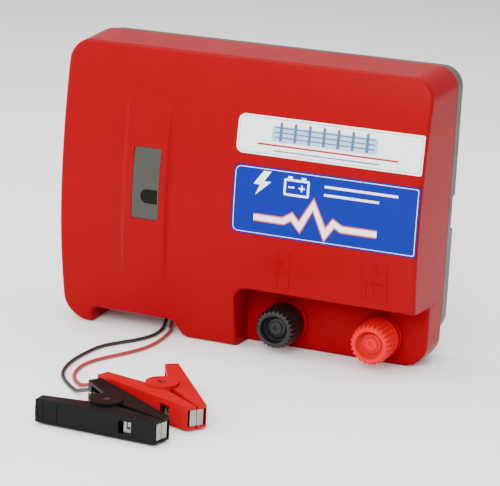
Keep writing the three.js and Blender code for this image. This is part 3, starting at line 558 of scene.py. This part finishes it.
def front_cover_mesh():
    """The relief of the face, its walls back to the seam, and the flange behind them."""
    outline = tapered_outline(cover_outline())
    rings = [inset(outline, depth) for depth in ring_depths(EDGE_ROUND, 7)]
    rings += [inset(bay_outline(), step) for step in BAY_STEPS]
    for area, radius, _, slope in PADS:
        edge = rounded_rect(*area, radius, 3.0, 15)
        rings += [edge, inset(edge, slope)]
    for area in LABEL_AREAS:
        edge = pocket_outline(area)
        rings += [edge, inset(edge, LABEL_POCKET[1])]
    for mark in moulded_symbols():
        if not loop_turns_left(mark):
            mark = mark[::-1]
        rings += [mark, inset(mark, SYMBOL_SLOPE)]
    x0, x1, z0, z1 = RIDGE
    left, right = RIDGE_SLOPE
    slopes = [
        grid_points(x0, x0 + left, z0, z1, left / 8, 2.5),
        grid_points(x1 - right, x1, z0, z1, right / 7, 2.5),
    ]
    clouds = (np.vstack(slopes), grid_points(*FACE_GRID))
    inner = inset(outline, EDGE_ROUND + 0.8)
    inside = [cloud[signed_distance(cloud, inner) > 0] for cloud in clouds]
    flat, tris = triangulate(outline, rings, inside)
    y = cover_height(flat, outline)

    build = Build()
    face = at_depth(flat, y)
    build.add(face, tris)
    for loop in ordered_boundary(tris):
        edge = face[loop]
        scale_x, scale_z = draft_scale(edge[:, 1])
        seam = np.column_stack((edge[:, 0] / scale_x, edge[:, 2] / scale_z))
        near = inset(seam, SEAM_CHAMFER if loop_turns_left(seam) else -SEAM_CHAMFER)
        build.strips([edge, at_depth(seam, SEAM - SEAM_CHAMFER), at_depth(near, SEAM)])
        opening = rear_opening()
        annulus(build, near, opening, SEAM)
        build.strips([at_depth(opening, SEAM), at_depth(opening, SEAM - FLANGE)])
    return build


# ---------------------------------------------------------------- labels
LABEL_SINK = 0.15  # printed face below the housing's face
LABEL_THICK = 0.35
LABEL_CORNER, LABEL_END_CORNER = 4.6, 1.2


def label_outline(area, grow=0.0):
    """Rounded at the left, nearly square at the right."""
    x0, x1, z0, z1 = area
    left, right = LABEL_CORNER - grow, LABEL_END_CORNER
    x0, x1, z0, z1 = x0 + grow, x1 - grow, z0 + grow, z1 - grow
    return closed(
        arc(x0 + left, z0 + left, left, 180, 270, 11.25),
        arc(x1 - right, z0 + right, right, 270, 360, 22.5),
        arc(x1 - right, z1 - right, right, 0, 90, 22.5),
        arc(x0 + left, z1 - left, left, 90, 180, 11.25),
        step=2.5,
    )


def line(points, width):
    """The outline of a thick open line with mitred corners."""
    points = np.array(points, float)
    ahead = np.diff(points, axis=0)
    ahead /= np.linalg.norm(ahead, axis=1)[:, None]
    normal = np.column_stack((-ahead[:, 1], ahead[:, 0]))
    before, after = np.vstack((normal[:1], normal)), np.vstack((normal, normal[-1:]))
    side = (before + after) / np.maximum(1 + (before * after).sum(1), 0.5)[:, None] * width / 2
    return np.vstack((points - side, (points + side)[::-1]))


def white_label_marks():
    """(outline, material number) of a fence with three wires over two plain rules."""
    base, top = 141.6, 154.0
    marks = [(label_outline(WHITE_AREA, 1.1), 1), (label_outline(WHITE_AREA, 1.5), 0)]
    marks.append((rounded_rect(22, 92, base - 0.6, 151.2, 2.2, 3, 30), 2))
    marks += [(bar(24, 90, z, z + 0.8), 3) for z in (143.6, 146.6, 149.6)]
    for x in np.arange(28, 90, 9.5):
        post = [(x - 1, base), (x + 1, base), (x + 1, top - 1.2), (x, top), (x - 1, top - 1.2)]
        marks.append((np.array(post), 3))
    marks += [(bar(13, 106, 138.2, 139.4), 4), (bar(24, 94, 135.0, 135.8), 3)]
    return marks


def blue_label_marks():
    """(outline, material number) of a pulse line, a bolt, a battery and plain rules."""
    marks = [(label_outline(BLUE_AREA, 1.0), 1), (label_outline(BLUE_AREA, 1.35), 0)]
    pulse = [(14, 92), (34, 92), (39.5, 95.5), (45, 89.5), (53.5, 105)]
    pulse += [(62, 87), (67.5, 95), (73, 92), (96, 92)]
    marks += [(line(pulse, 5.2), 2), (line(pulse, 3.4), 1)]
    bolt = [(19.0, 122.2), (12.6, 113.2), (17.0, 113.2), (14.2, 106.4)]
    bolt += [(24.4, 115.6), (19.6, 115.6), (24.0, 122.2)]
    marks.append((np.array(bolt)[::-1], 1))
    marks += [(rounded_rect(33, 50, 108.6, 119.4, 1.2, 3, 30), 1), (bar(34.4, 48.6, 110, 118), 0)]
    marks += [(bar(x, x + 3, 119.3, 121), 1) for x in (35.5, 44.5)]
    marks += [(bar(36, 40, 113.6, 114.6), 1), (bar(43, 47, 113.6, 114.6), 1)]
    marks += [(bar(44.5, 45.5, 112.1, 116.1), 1)]
    marks += [(bar(60, 108, 116.6, 118.1), 1), (bar(60, 96, 111.4, 112.9), 1)]
    return marks


def label_mesh(area, marks):
    outline = label_outline(area)
    x0, x1, z0, z1 = area
    field = grid_points(x0 + 2, x1 - 2, z0 + 2, z1 - 2, 6, 4)
    flat, tris = triangulate(outline, [mark for mark, _ in marks], [field])
    middles = flat[tris].mean(axis=1)
    slots = np.zeros(len(tris), int)
    for mark, ink in marks:
        slots[signed_distance(middles, mark) > 0] = ink
    y = front_surface(flat[:, 1]) + LABEL_SINK
    build = Build()
    face = at_depth(flat, y)
    for ink in sorted(set(slots)):
        build.add(face, tris[slots == ink], int(ink))
    edge = at_depth(outline, front_surface(outline[:, 1]) + LABEL_SINK)
    build.strips([edge, edge + [0, LABEL_THICK, 0]])
    build.add(face + [0, LABEL_THICK, 0], tris)
    return build


# ---------------------------------------------------------------- knobs
KNOB_FRONT = -28.5
KNOB_RIBS = 25
KNOB_TURNED = {"black": 0.03, "red": 0.1}  # radians
# (depth behind the front, radius, groove depth), from the boss in the cup round to the bore.
KNOB_PROFILE = (
    (4.9, 0.0, 0),
    (4.9, 0.5, 0),
    (4.7, 1.2, 0),
    (3.75, 1.6, 0),
    (3.6, 1.9, 0),
    (3.6, 3.8, 0),
    (3.8, 4.2, 0),
    (4.9, 4.4, 0),
    (5.0, 4.7, 0),
    (5.0, 6.0, 0),
    (5.2, 6.35, 0),
    (6.4, 6.5, 0),
    (6.6, 6.8, 0),
    (6.6, 8.3, 0),
    (6.2, 8.75, 0),
    (0.7, 9.0, 0),
    (0.2, 9.15, 0),
    (0.0, 9.5, 0),
    (0.0, 10.5, 0.0),
    (0.12, 11.1, 0.15),
    (0.5, 11.8, 0.6),
    (1.2, 12.5, 1.1),
    (2.2, 13.0, 1.4),
    (3.6, 13.3, 1.4),
    (6.0, 13.4, 1.15),
    (9.5, 13.4, 0.85),
    (14.0, 13.4, 0.6),
    (18.3, 13.4, 0.4),
    (18.9, 13.4, 0.1),
    (19.3, 13.4, 0),
    (19.75, 13.25, 0),
    (20.0, 12.9, 0),
    (20.0, 3.6, 0),
    (10.0, 3.3, 0),
    (10.0, 0.0, 0),
)


def knob_mesh(x, turned):
    """A ribbed knob with a stepped cup in its front, turned by a small angle."""
    angles = np.linspace(0, 2 * pi, KNOB_RIBS * 8, endpoint=False)
    groove = (0.5 + 0.5 * np.cos(KNOB_RIBS * angles)) ** 1.4
    spokes = np.column_stack((np.cos(angles + turned), np.sin(angles + turned)))
    rings = []
    for depth, radius, cut in KNOB_PROFILE:
        ring = spokes * (radius - cut * groove)[:, None] + (x, TERMINAL_HEIGHT)
        rings.append(at_depth(ring, KNOB_FRONT + depth))
    build = Build()
    build.strips(rings)
    return build


# ---------------------------------------------------------------- clip details
CLIP_TIP, CLIP_TIP_HALF = 43.0, 6.4
CLIP_TAIL, CLIP_TAIL_HALF = 30.0, 27.4
CLIP_LOW, CLIP_HIGH = 1.6, 15.2
CLIP_SLOPE = (CLIP_TAIL_HALF - CLIP_TIP_HALF) / (CLIP_TIP + CLIP_TAIL)
# Marks along a half's outer wall: (start, end, out, in, low, high, bevel).
CLIP_MARKS = (
    (-26.0, -25.1, 0.35, 0.6, CLIP_LOW + 1.6, CLIP_HIGH - 1.6, 0.15),
    (-17.5, -16.6, 0.35, 0.6, CLIP_LOW + 1.6, CLIP_HIGH - 1.6, 0.15),
    (-28.6, 41.5, -0.15, 1.3, CLIP_LOW - 0.3, CLIP_LOW + 0.3, 0.14),
    (-28.6, 41.5, -0.15, 1.3, CLIP_HIGH - 0.3, CLIP_HIGH + 0.35, 0.14),
    (-29.9, -28.4, 0.3, 1.2, CLIP_LOW + 3.4, CLIP_HIGH - 3.4, 0.2),
)
SLOT_MIDDLE = 25.0
SLOT_INWARD = 2.15  # outer side of the metal, in from the half's outer wall
SLOT_PROUD, SLOT_SUNK, SLOT_BEVEL = 0.14, 0.4, 0.04
SLOT_BARS = ((24.5, 25.5, 8.4, 12.2), (23.0, 27.0, 7.2, 8.6))  # (start, end, low, high)
HUB_TOP = 16.8
# (radius, depth below the hub's face)
PIN_HEAD = (
    (2.95, 0.06),
    (2.7, 0.31),
    (2.2, 0.96),
    (1.7, 1.01),
    (1.4, 0.76),
    (0.7, 0.56),
    (0.0, 0.51),
)


def clip_outer(u):
    return CLIP_TIP_HALF + CLIP_SLOPE * (CLIP_TIP - u)


def soft_box(build, corners, low, high, bevel):
    """A prism with bevelled top and bottom edges from a counter-clockwise outline (u, v)."""
    corners = np.array(corners, float)
    rings = []
    for shrink, z in ((bevel, low), (0, low + bevel), (0, high - bevel), (bevel, high)):
        shape = inset(corners, shrink) if shrink else corners
        rings.append(np.column_stack((shape, np.full(len(shape), z))))
    build.strips(rings, caps=(True, True))


def clip_detail(colour, side):
    """Moulded marks on one half: grip ribs and an end lip outside, a thick rim on both faces."""
    build = Build()
    for u0, u1, out, inward, low, high, bevel in CLIP_MARKS:
        a, b = clip_outer(u0), clip_outer(u1)
        corners = [(u0, a - inward), (u1, b - inward), (u1, b + out), (u0, a + out)]
        soft_box(build, corners, low, high, bevel)
    build.verts = [clip_place(colour, u, v * side, z) for u, v, z in build.verts]
    return build


def painted_slot_shade(colour, side):
    """A dark T-shaped block where the slot in the metal behind the window of one half is: painted
    shade standing in for the hole.
    """
    build = Build()
    face = clip_outer(SLOT_MIDDLE) - SLOT_INWARD
    for u0, u1, low, high in SLOT_BARS:
        soft_box(build, bar(u0, u1, face - SLOT_SUNK, face + SLOT_PROUD), low, high, SLOT_BEVEL)
    build.verts = [clip_place(colour, u, v * side, z) for u, v, z in build.verts]
    return build


def pin_head(colour):
    """A dished rivet head in the hub's hole, above and below."""
    build = Build()
    for top, sign in ((HUB_TOP, 1), (0.0, -1)):
        rings = []
        for radius, drop in PIN_HEAD:
            ring = circle(0, 0, radius)
            rings.append(np.column_stack((ring, np.full(len(ring), top - sign * drop))))
        build.strips(rings)
    build.verts = [clip_place(colour, *point) for point in build.verts]
    return build


# ---------------------------------------------------------------- materials
def linear(*srgb):
    """An sRGB colour (0-255) as the linear RGBA that shaders use."""
    values = [c / 255 for c in srgb]
    return (*[v / 12.92 if v <= 0.04045 else ((v + 0.055) / 1.055) ** 2.4 for v in values], 1)


def shade(color, factor):
    return (*[min(1, c * factor) for c in color[:3]], 1)


class Nodes:
    """A material's node tree, with short calls for the nodes used here."""

    def __init__(self, name):
        self.material = bpy.data.materials.new(name)
        self.material.use_nodes = True
        self.tree = self.material.node_tree
        self.shader = self.tree.nodes["Principled BSDF"]
        coordinates = self.tree.nodes.new("ShaderNodeTexCoord")
        self.place = coordinates.outputs["Object"]

    def link(self, source, target):
        self.tree.links.new(source, target)

    def noise(self, scale, detail=3, roughness=0.5, stretch=(1, 1, 1)):
        mapping = self.tree.nodes.new("ShaderNodeMapping")
        mapping.inputs["Scale"].default_value = stretch
        self.link(self.place, mapping.inputs["Vector"])
        node = self.tree.nodes.new("ShaderNodeTexNoise")
        node.inputs["Scale"].default_value = scale
        node.inputs["Detail"].default_value = detail
        node.inputs["Roughness"].default_value = roughness
        self.link(mapping.outputs["Vector"], node.inputs["Vector"])
        return node.outputs["Fac"]

    def blend(self, factor, low, high, span=(0.3, 0.7)):
        ramp = self.tree.nodes.new("ShaderNodeValToRGB")
        for stop, at, color in zip(ramp.color_ramp.elements, span, (low, high)):
            stop.position = at
            stop.color = color
        self.link(factor, ramp.inputs["Fac"])
        return ramp.outputs["Color"]

    def spread(self, factor, low, high):
        node = self.tree.nodes.new("ShaderNodeMapRange")
        for socket, value in (("From Min", 0.3), ("From Max", 0.7), ("To Min", low), ("To Max", high)):
            node.inputs[socket].default_value = value
        self.link(factor, node.inputs["Value"])
        return node.outputs["Result"]

    def bump(self, height, depth, strength=1.0):
        node = self.tree.nodes.new("ShaderNodeBump")
        node.inputs["Strength"].default_value = strength
        node.inputs["Distance"].default_value = depth
        self.link(height, node.inputs["Height"])
        return node.outputs["Normal"]


def moulded(name, color, rough=(0.3, 0.42), grain=None, tone=0.05, specular=0.5):
    """Moulded plastic or rubber: faint mottling, uneven gloss, and a grain (scale, depth) if given."""
    nodes = Nodes(name)
    mottle = nodes.blend(nodes.noise(60, 4), shade(color, 1 - tone), shade(color, 1 + tone))
    nodes.link(mottle, nodes.shader.inputs["Base Color"])
    nodes.link(nodes.spread(nodes.noise(45, 2), *rough), nodes.shader.inputs["Roughness"])
    if grain:
        scale, depth = grain
        nodes.link(nodes.bump(nodes.noise(scale, 2), depth, 0.6), nodes.shader.inputs["Normal"])
    nodes.shader.inputs["Specular IOR Level"].default_value = specular
    return nodes.material


def brushed(name, color, rough=(0.22, 0.4), stretch=(1, 1, 30), tone=0.12):
    """Plated or rolled metal with fine lines one way and a few dull spots."""
    nodes = Nodes(name)
    lines = nodes.noise(400, 3, 0.6, stretch)
    mottle = nodes.blend(nodes.noise(180, 4), shade(color, 1 - tone), shade(color, 1 + tone))
    nodes.link(mottle, nodes.shader.inputs["Base Color"])
    nodes.link(nodes.spread(nodes.noise(220, 5, 0.65), *rough), nodes.shader.inputs["Roughness"])
    nodes.link(nodes.bump(lines, 0.00002, 0.7), nodes.shader.inputs["Normal"])
    nodes.shader.inputs["Metallic"].default_value = 1.0
    return nodes.material


RED_SHELL = moulded("red_shell", linear(134, 0, 13), (0.27, 0.31), None, 0.012, 0.035)
GREY_SHELL = moulded("grey_shell", linear(68, 65, 60), (0.42, 0.55), (1100, 0.00003), 0.05, 0.3)
GREY_PLATE = moulded("grey_plate", linear(58, 58, 53), (0.38, 0.5), None, 0.03, 0.2)
SMOKED_LENS = moulded("smoked_lens", linear(14, 13, 11), (0.2, 0.3), None, 0.1, 0.08)
WHITE_FILM = moulded("white_film", linear(238, 242, 242), (0.3, 0.38), None, 0.01, 0.3)
BLUE_FILM = moulded("blue_film", linear(20, 34, 130), (0.3, 0.38), None, 0.03, 0.05)
INK_WHITE = moulded("ink_white", linear(240, 242, 242), (0.3, 0.4), None, 0.02)
INK_RED = moulded("ink_red", linear(160, 20, 24), (0.3, 0.4), None, 0.03, 0.2)
INK_ORANGE = moulded("ink_orange", linear(204, 84, 24), (0.3, 0.4), None, 0.03, 0.2)
INK_GREY = moulded("ink_grey", linear(128, 144, 158), (0.3, 0.4), None, 0.03)
INK_BLUE = moulded("ink_blue", linear(62, 92, 130), (0.3, 0.4), None, 0.03)
INK_PALE = moulded("ink_pale", linear(160, 190, 214), (0.3, 0.4), None, 0.03)
BLACK_KNOB = moulded("black_knob", linear(20, 19, 18), (0.3, 0.44), None, 0.12, 0.35)
RED_KNOB = moulded("red_knob", linear(206, 0, 22), (0.22, 0.3), None, 0.02, 0.08)
BLACK_CLIP = moulded("black_clip", linear(12, 13, 13), (0.38, 0.52), (900, 0.00002), 0.1, 0.1)
RED_CLIP = moulded("red_clip", linear(166, 0, 16), (0.3, 0.42), (900, 0.00001), 0.03, 0.06)
RUBBER = moulded("rubber", linear(28, 28, 28), (0.6, 0.8), (800, 0.0001), 0.15)
BLACK_VINYL = moulded("black_vinyl", linear(40, 33, 31), (0.38, 0.52), (1400, 0.00004), 0.12, 0.3)
RED_VINYL = moulded("red_vinyl", linear(150, 48, 42), (0.38, 0.52), (1400, 0.00004), 0.08, 0.3)
GREEN_VINYL = moulded("green_vinyl", linear(44, 110, 54), (0.38, 0.52), (1400, 0.00004), 0.08)
STEEL = brushed("plated_steel", linear(142, 141, 133))
# Darker steel for the rivet heads; on the window slots its darkness is painted shade for the hole in
# the metal.
DARK_STEEL_AND_SLOT_SHADE = brushed("dark_steel_and_slot_shade", linear(70, 66, 62), (0.35, 0.5))
BRASS = brushed("brass", linear(186, 150, 88))
BOARD = moulded("board", linear(38, 92, 54), (0.3, 0.5), (600, 0.00004), 0.12)
BLACK_PART = moulded("black_part", linear(38, 38, 40), (0.35, 0.5), (900, 0.00005), 0.1)
BLUE_PART = moulded("blue_part", linear(42, 78, 138), (0.3, 0.45), (900, 0.00004), 0.08)
ALUMINIUM = brushed("aluminium", linear(160, 162, 164), (0.3, 0.45), (30, 1, 1))
LAMINATION = brushed("lamination", linear(86, 84, 78), (0.4, 0.6), (1, 40, 1), 0.2)
WINDING = brushed("winding", linear(176, 106, 62), (0.25, 0.4), (1, 1, 60), 0.2)
RED_LED = moulded("red_led", linear(190, 60, 44), (0.08, 0.15))
FUSE = moulded("fuse", linear(204, 200, 184), (0.15, 0.3), None, 0.06)

SLOT_MATERIAL = {
    "red_housing": RED_SHELL,
    "grey_housing": GREY_SHELL,
    "grey_plate": GREY_PLATE,
    "dark_lens": SMOKED_LENS,
    "white_label": WHITE_FILM,
    "blue_label": BLUE_FILM,
    "black_knob": BLACK_KNOB,
    "red_knob": RED_KNOB,
    "black_clip": BLACK_CLIP,
    "red_clip": RED_CLIP,
    "rubber": RUBBER,
    "black_wire": BLACK_VINYL,
    "red_wire": RED_VINYL,
    "green_wire": GREEN_VINYL,
    "steel": STEEL,
    "brass": BRASS,
    "board": BOARD,
    "black_component": BLACK_PART,
    "blue_component": BLUE_PART,
    "aluminium": ALUMINIUM,
    "lamination": LAMINATION,
    "copper_winding": WINDING,
    "red_led": RED_LED,
    "fuse": FUSE,
}
SLOT_OF = {part["node"]: part["material_slot"] for part in frame["record"]["subparts"]}


def paint(thing, material):
    thing.data.materials.clear()
    thing.data.materials.append(material)


for node_name, node in frame["nodes"].items():
    paint(node, SLOT_MATERIAL[SLOT_OF[node_name]])
for colour, lead in leads.items():
    paint(lead, SLOT_MATERIAL[f"{colour}_wire"])


def soften(node_name, width, segments=2, angle=28):
    """Rounds a CAD part's edges without changing its own mesh."""
    node = frame["nodes"][node_name]
    edge = node.modifiers.new("edge", "BEVEL")
    edge.width = width * MM
    edge.segments = segments
    edge.limit_method = "ANGLE"
    edge.angle_limit = radians(angle)
    edge.use_clamp_overlap = True
    edge.harden_normals = True
    node.data.shade_smooth()
    even = node.modifiers.new("even_normals", "WEIGHTED_NORMAL")
    even.keep_sharp = True


def add_piece(build, name, materials, body, slot, *nodes, sharp=32):
    """Makes a piece with its materials, hangs it on the body it rides on, and hides the CAD nodes it
    stands for. The slot argument is not used.
    """
    piece = build.object(name, materials, sharp)
    if nodes:
        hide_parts(*nodes)
    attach(piece, body)


add_piece(front_cover_mesh(), "front_shell", [RED_SHELL], "housing", "red_housing", "front_cover")
add_piece(
    label_mesh(WHITE_AREA, white_label_marks()),
    "upper_label",
    [WHITE_FILM, INK_GREY, INK_PALE, INK_BLUE, INK_RED],
    "housing",
    "white_label",
    "white_label",
)
add_piece(
    label_mesh(BLUE_AREA, blue_label_marks()),
    "lower_label",
    [BLUE_FILM, INK_WHITE, INK_ORANGE],
    "housing",
    "blue_label",
    "blue_label",
)
for (terminal, x), colour, material in zip(TERMINALS, ("black", "red"), (BLACK_KNOB, RED_KNOB)):
    grip, knob = knob_mesh(x, KNOB_TURNED[colour]), f"{terminal}_knob"
    add_piece(grip, f"{terminal}_grip", [material], knob, f"{colour}_knob", knob, sharp=40)
    soften(f"{terminal}_terminal_base", 0.5)
    soften(f"{terminal}_clamp_washer", 0.12)
for colour, material in (("black", BLACK_CLIP), ("red", RED_CLIP)):
    for half, side, body in (
        ("fixed", LEAD_SIDE[colour], "housing"),
        ("moving", -LEAD_SIDE[colour], f"{colour}_clip_moving_half"),
    ):
        clip_half = f"{colour}_clip_{half}"
        add_piece(clip_detail(colour, side), f"{clip_half}_marks", [material], body, f"{colour}_clip")
        # The slot is a dark block: painted shade for the opening in the metal.
        add_piece(painted_slot_shade(colour, side), f"{clip_half}_slot", [DARK_STEEL_AND_SLOT_SHADE], body, "steel")
        soften(f"{clip_half}_handle", 0.45, 3)
        soften(f"{clip_half}_jaw", 0.08)
    add_piece(pin_head(colour), f"{colour}_clip_pin_head", [DARK_STEEL_AND_SLOT_SHADE], "housing", "steel")
soften("rear_cover", 0.7, 3)
soften("indicator_plate", 0.3)
soften("indicator_lens", 0.25, 3)


# ---------------------------------------------------------------- floor and light
# (name, place, aimed at, width, height, watts)
SOFTBOXES = (
    ("top_box", (-0.1, 0.1, 1.25), (0, 0, 0.05), 1.5, 1.2, 21),
    ("left_box", (-1.3, -0.75, 0.6), (0, -0.05, 0.08), 0.7, 0.9, 15),
    ("front_box", (0.1, -1.5, 0.95), (0, -0.05, 0.05), 1.0, 0.7, 29),
    ("right_box", (1.3, -0.7, 0.6), (0.05, 0, 0.08), 0.8, 0.9, 6),
)
FLOOR_HALF = 7000.0
AMBIENT = 0.85


def add_stage():
    """A wide pale floor, and soft light from boxes around the object."""
    build = Build()
    steps = np.linspace(-FLOOR_HALF, FLOOR_HALF, 9)
    build.strips([np.array([(x, y, 0.0) for x in steps]) for y in steps], closed_ring=False)
    paper = Nodes("paper")
    tone = paper.blend(paper.noise(3, 2), linear(246, 246, 246), linear(250, 250, 250))
    paper.link(tone, paper.shader.inputs["Base Color"])
    paper.shader.inputs["Roughness"].default_value = 0.9
    floor = build.object("floor", [paper.material], weighted=False)

    for name, place, aim, width, height, power in SOFTBOXES:
        data = bpy.data.lights.new(name, "AREA")
        data.shape = "RECTANGLE"
        data.size, data.size_y = width, height
        data.energy = power
        light = bpy.data.objects.new(name, data)
        light.location = place
        light.rotation_euler = (Vector(aim) - Vector(place)).to_track_quat("-Z", "Y").to_euler()
        bpy.context.scene.collection.objects.link(light)
    world = bpy.data.worlds.new("studio")
    world.use_nodes = True
    world.node_tree.nodes["Background"].inputs["Color"].default_value = (1, 1, 1, 1)
    world.node_tree.nodes["Background"].inputs["Strength"].default_value = AMBIENT
    bpy.context.scene.world = world


add_stage()
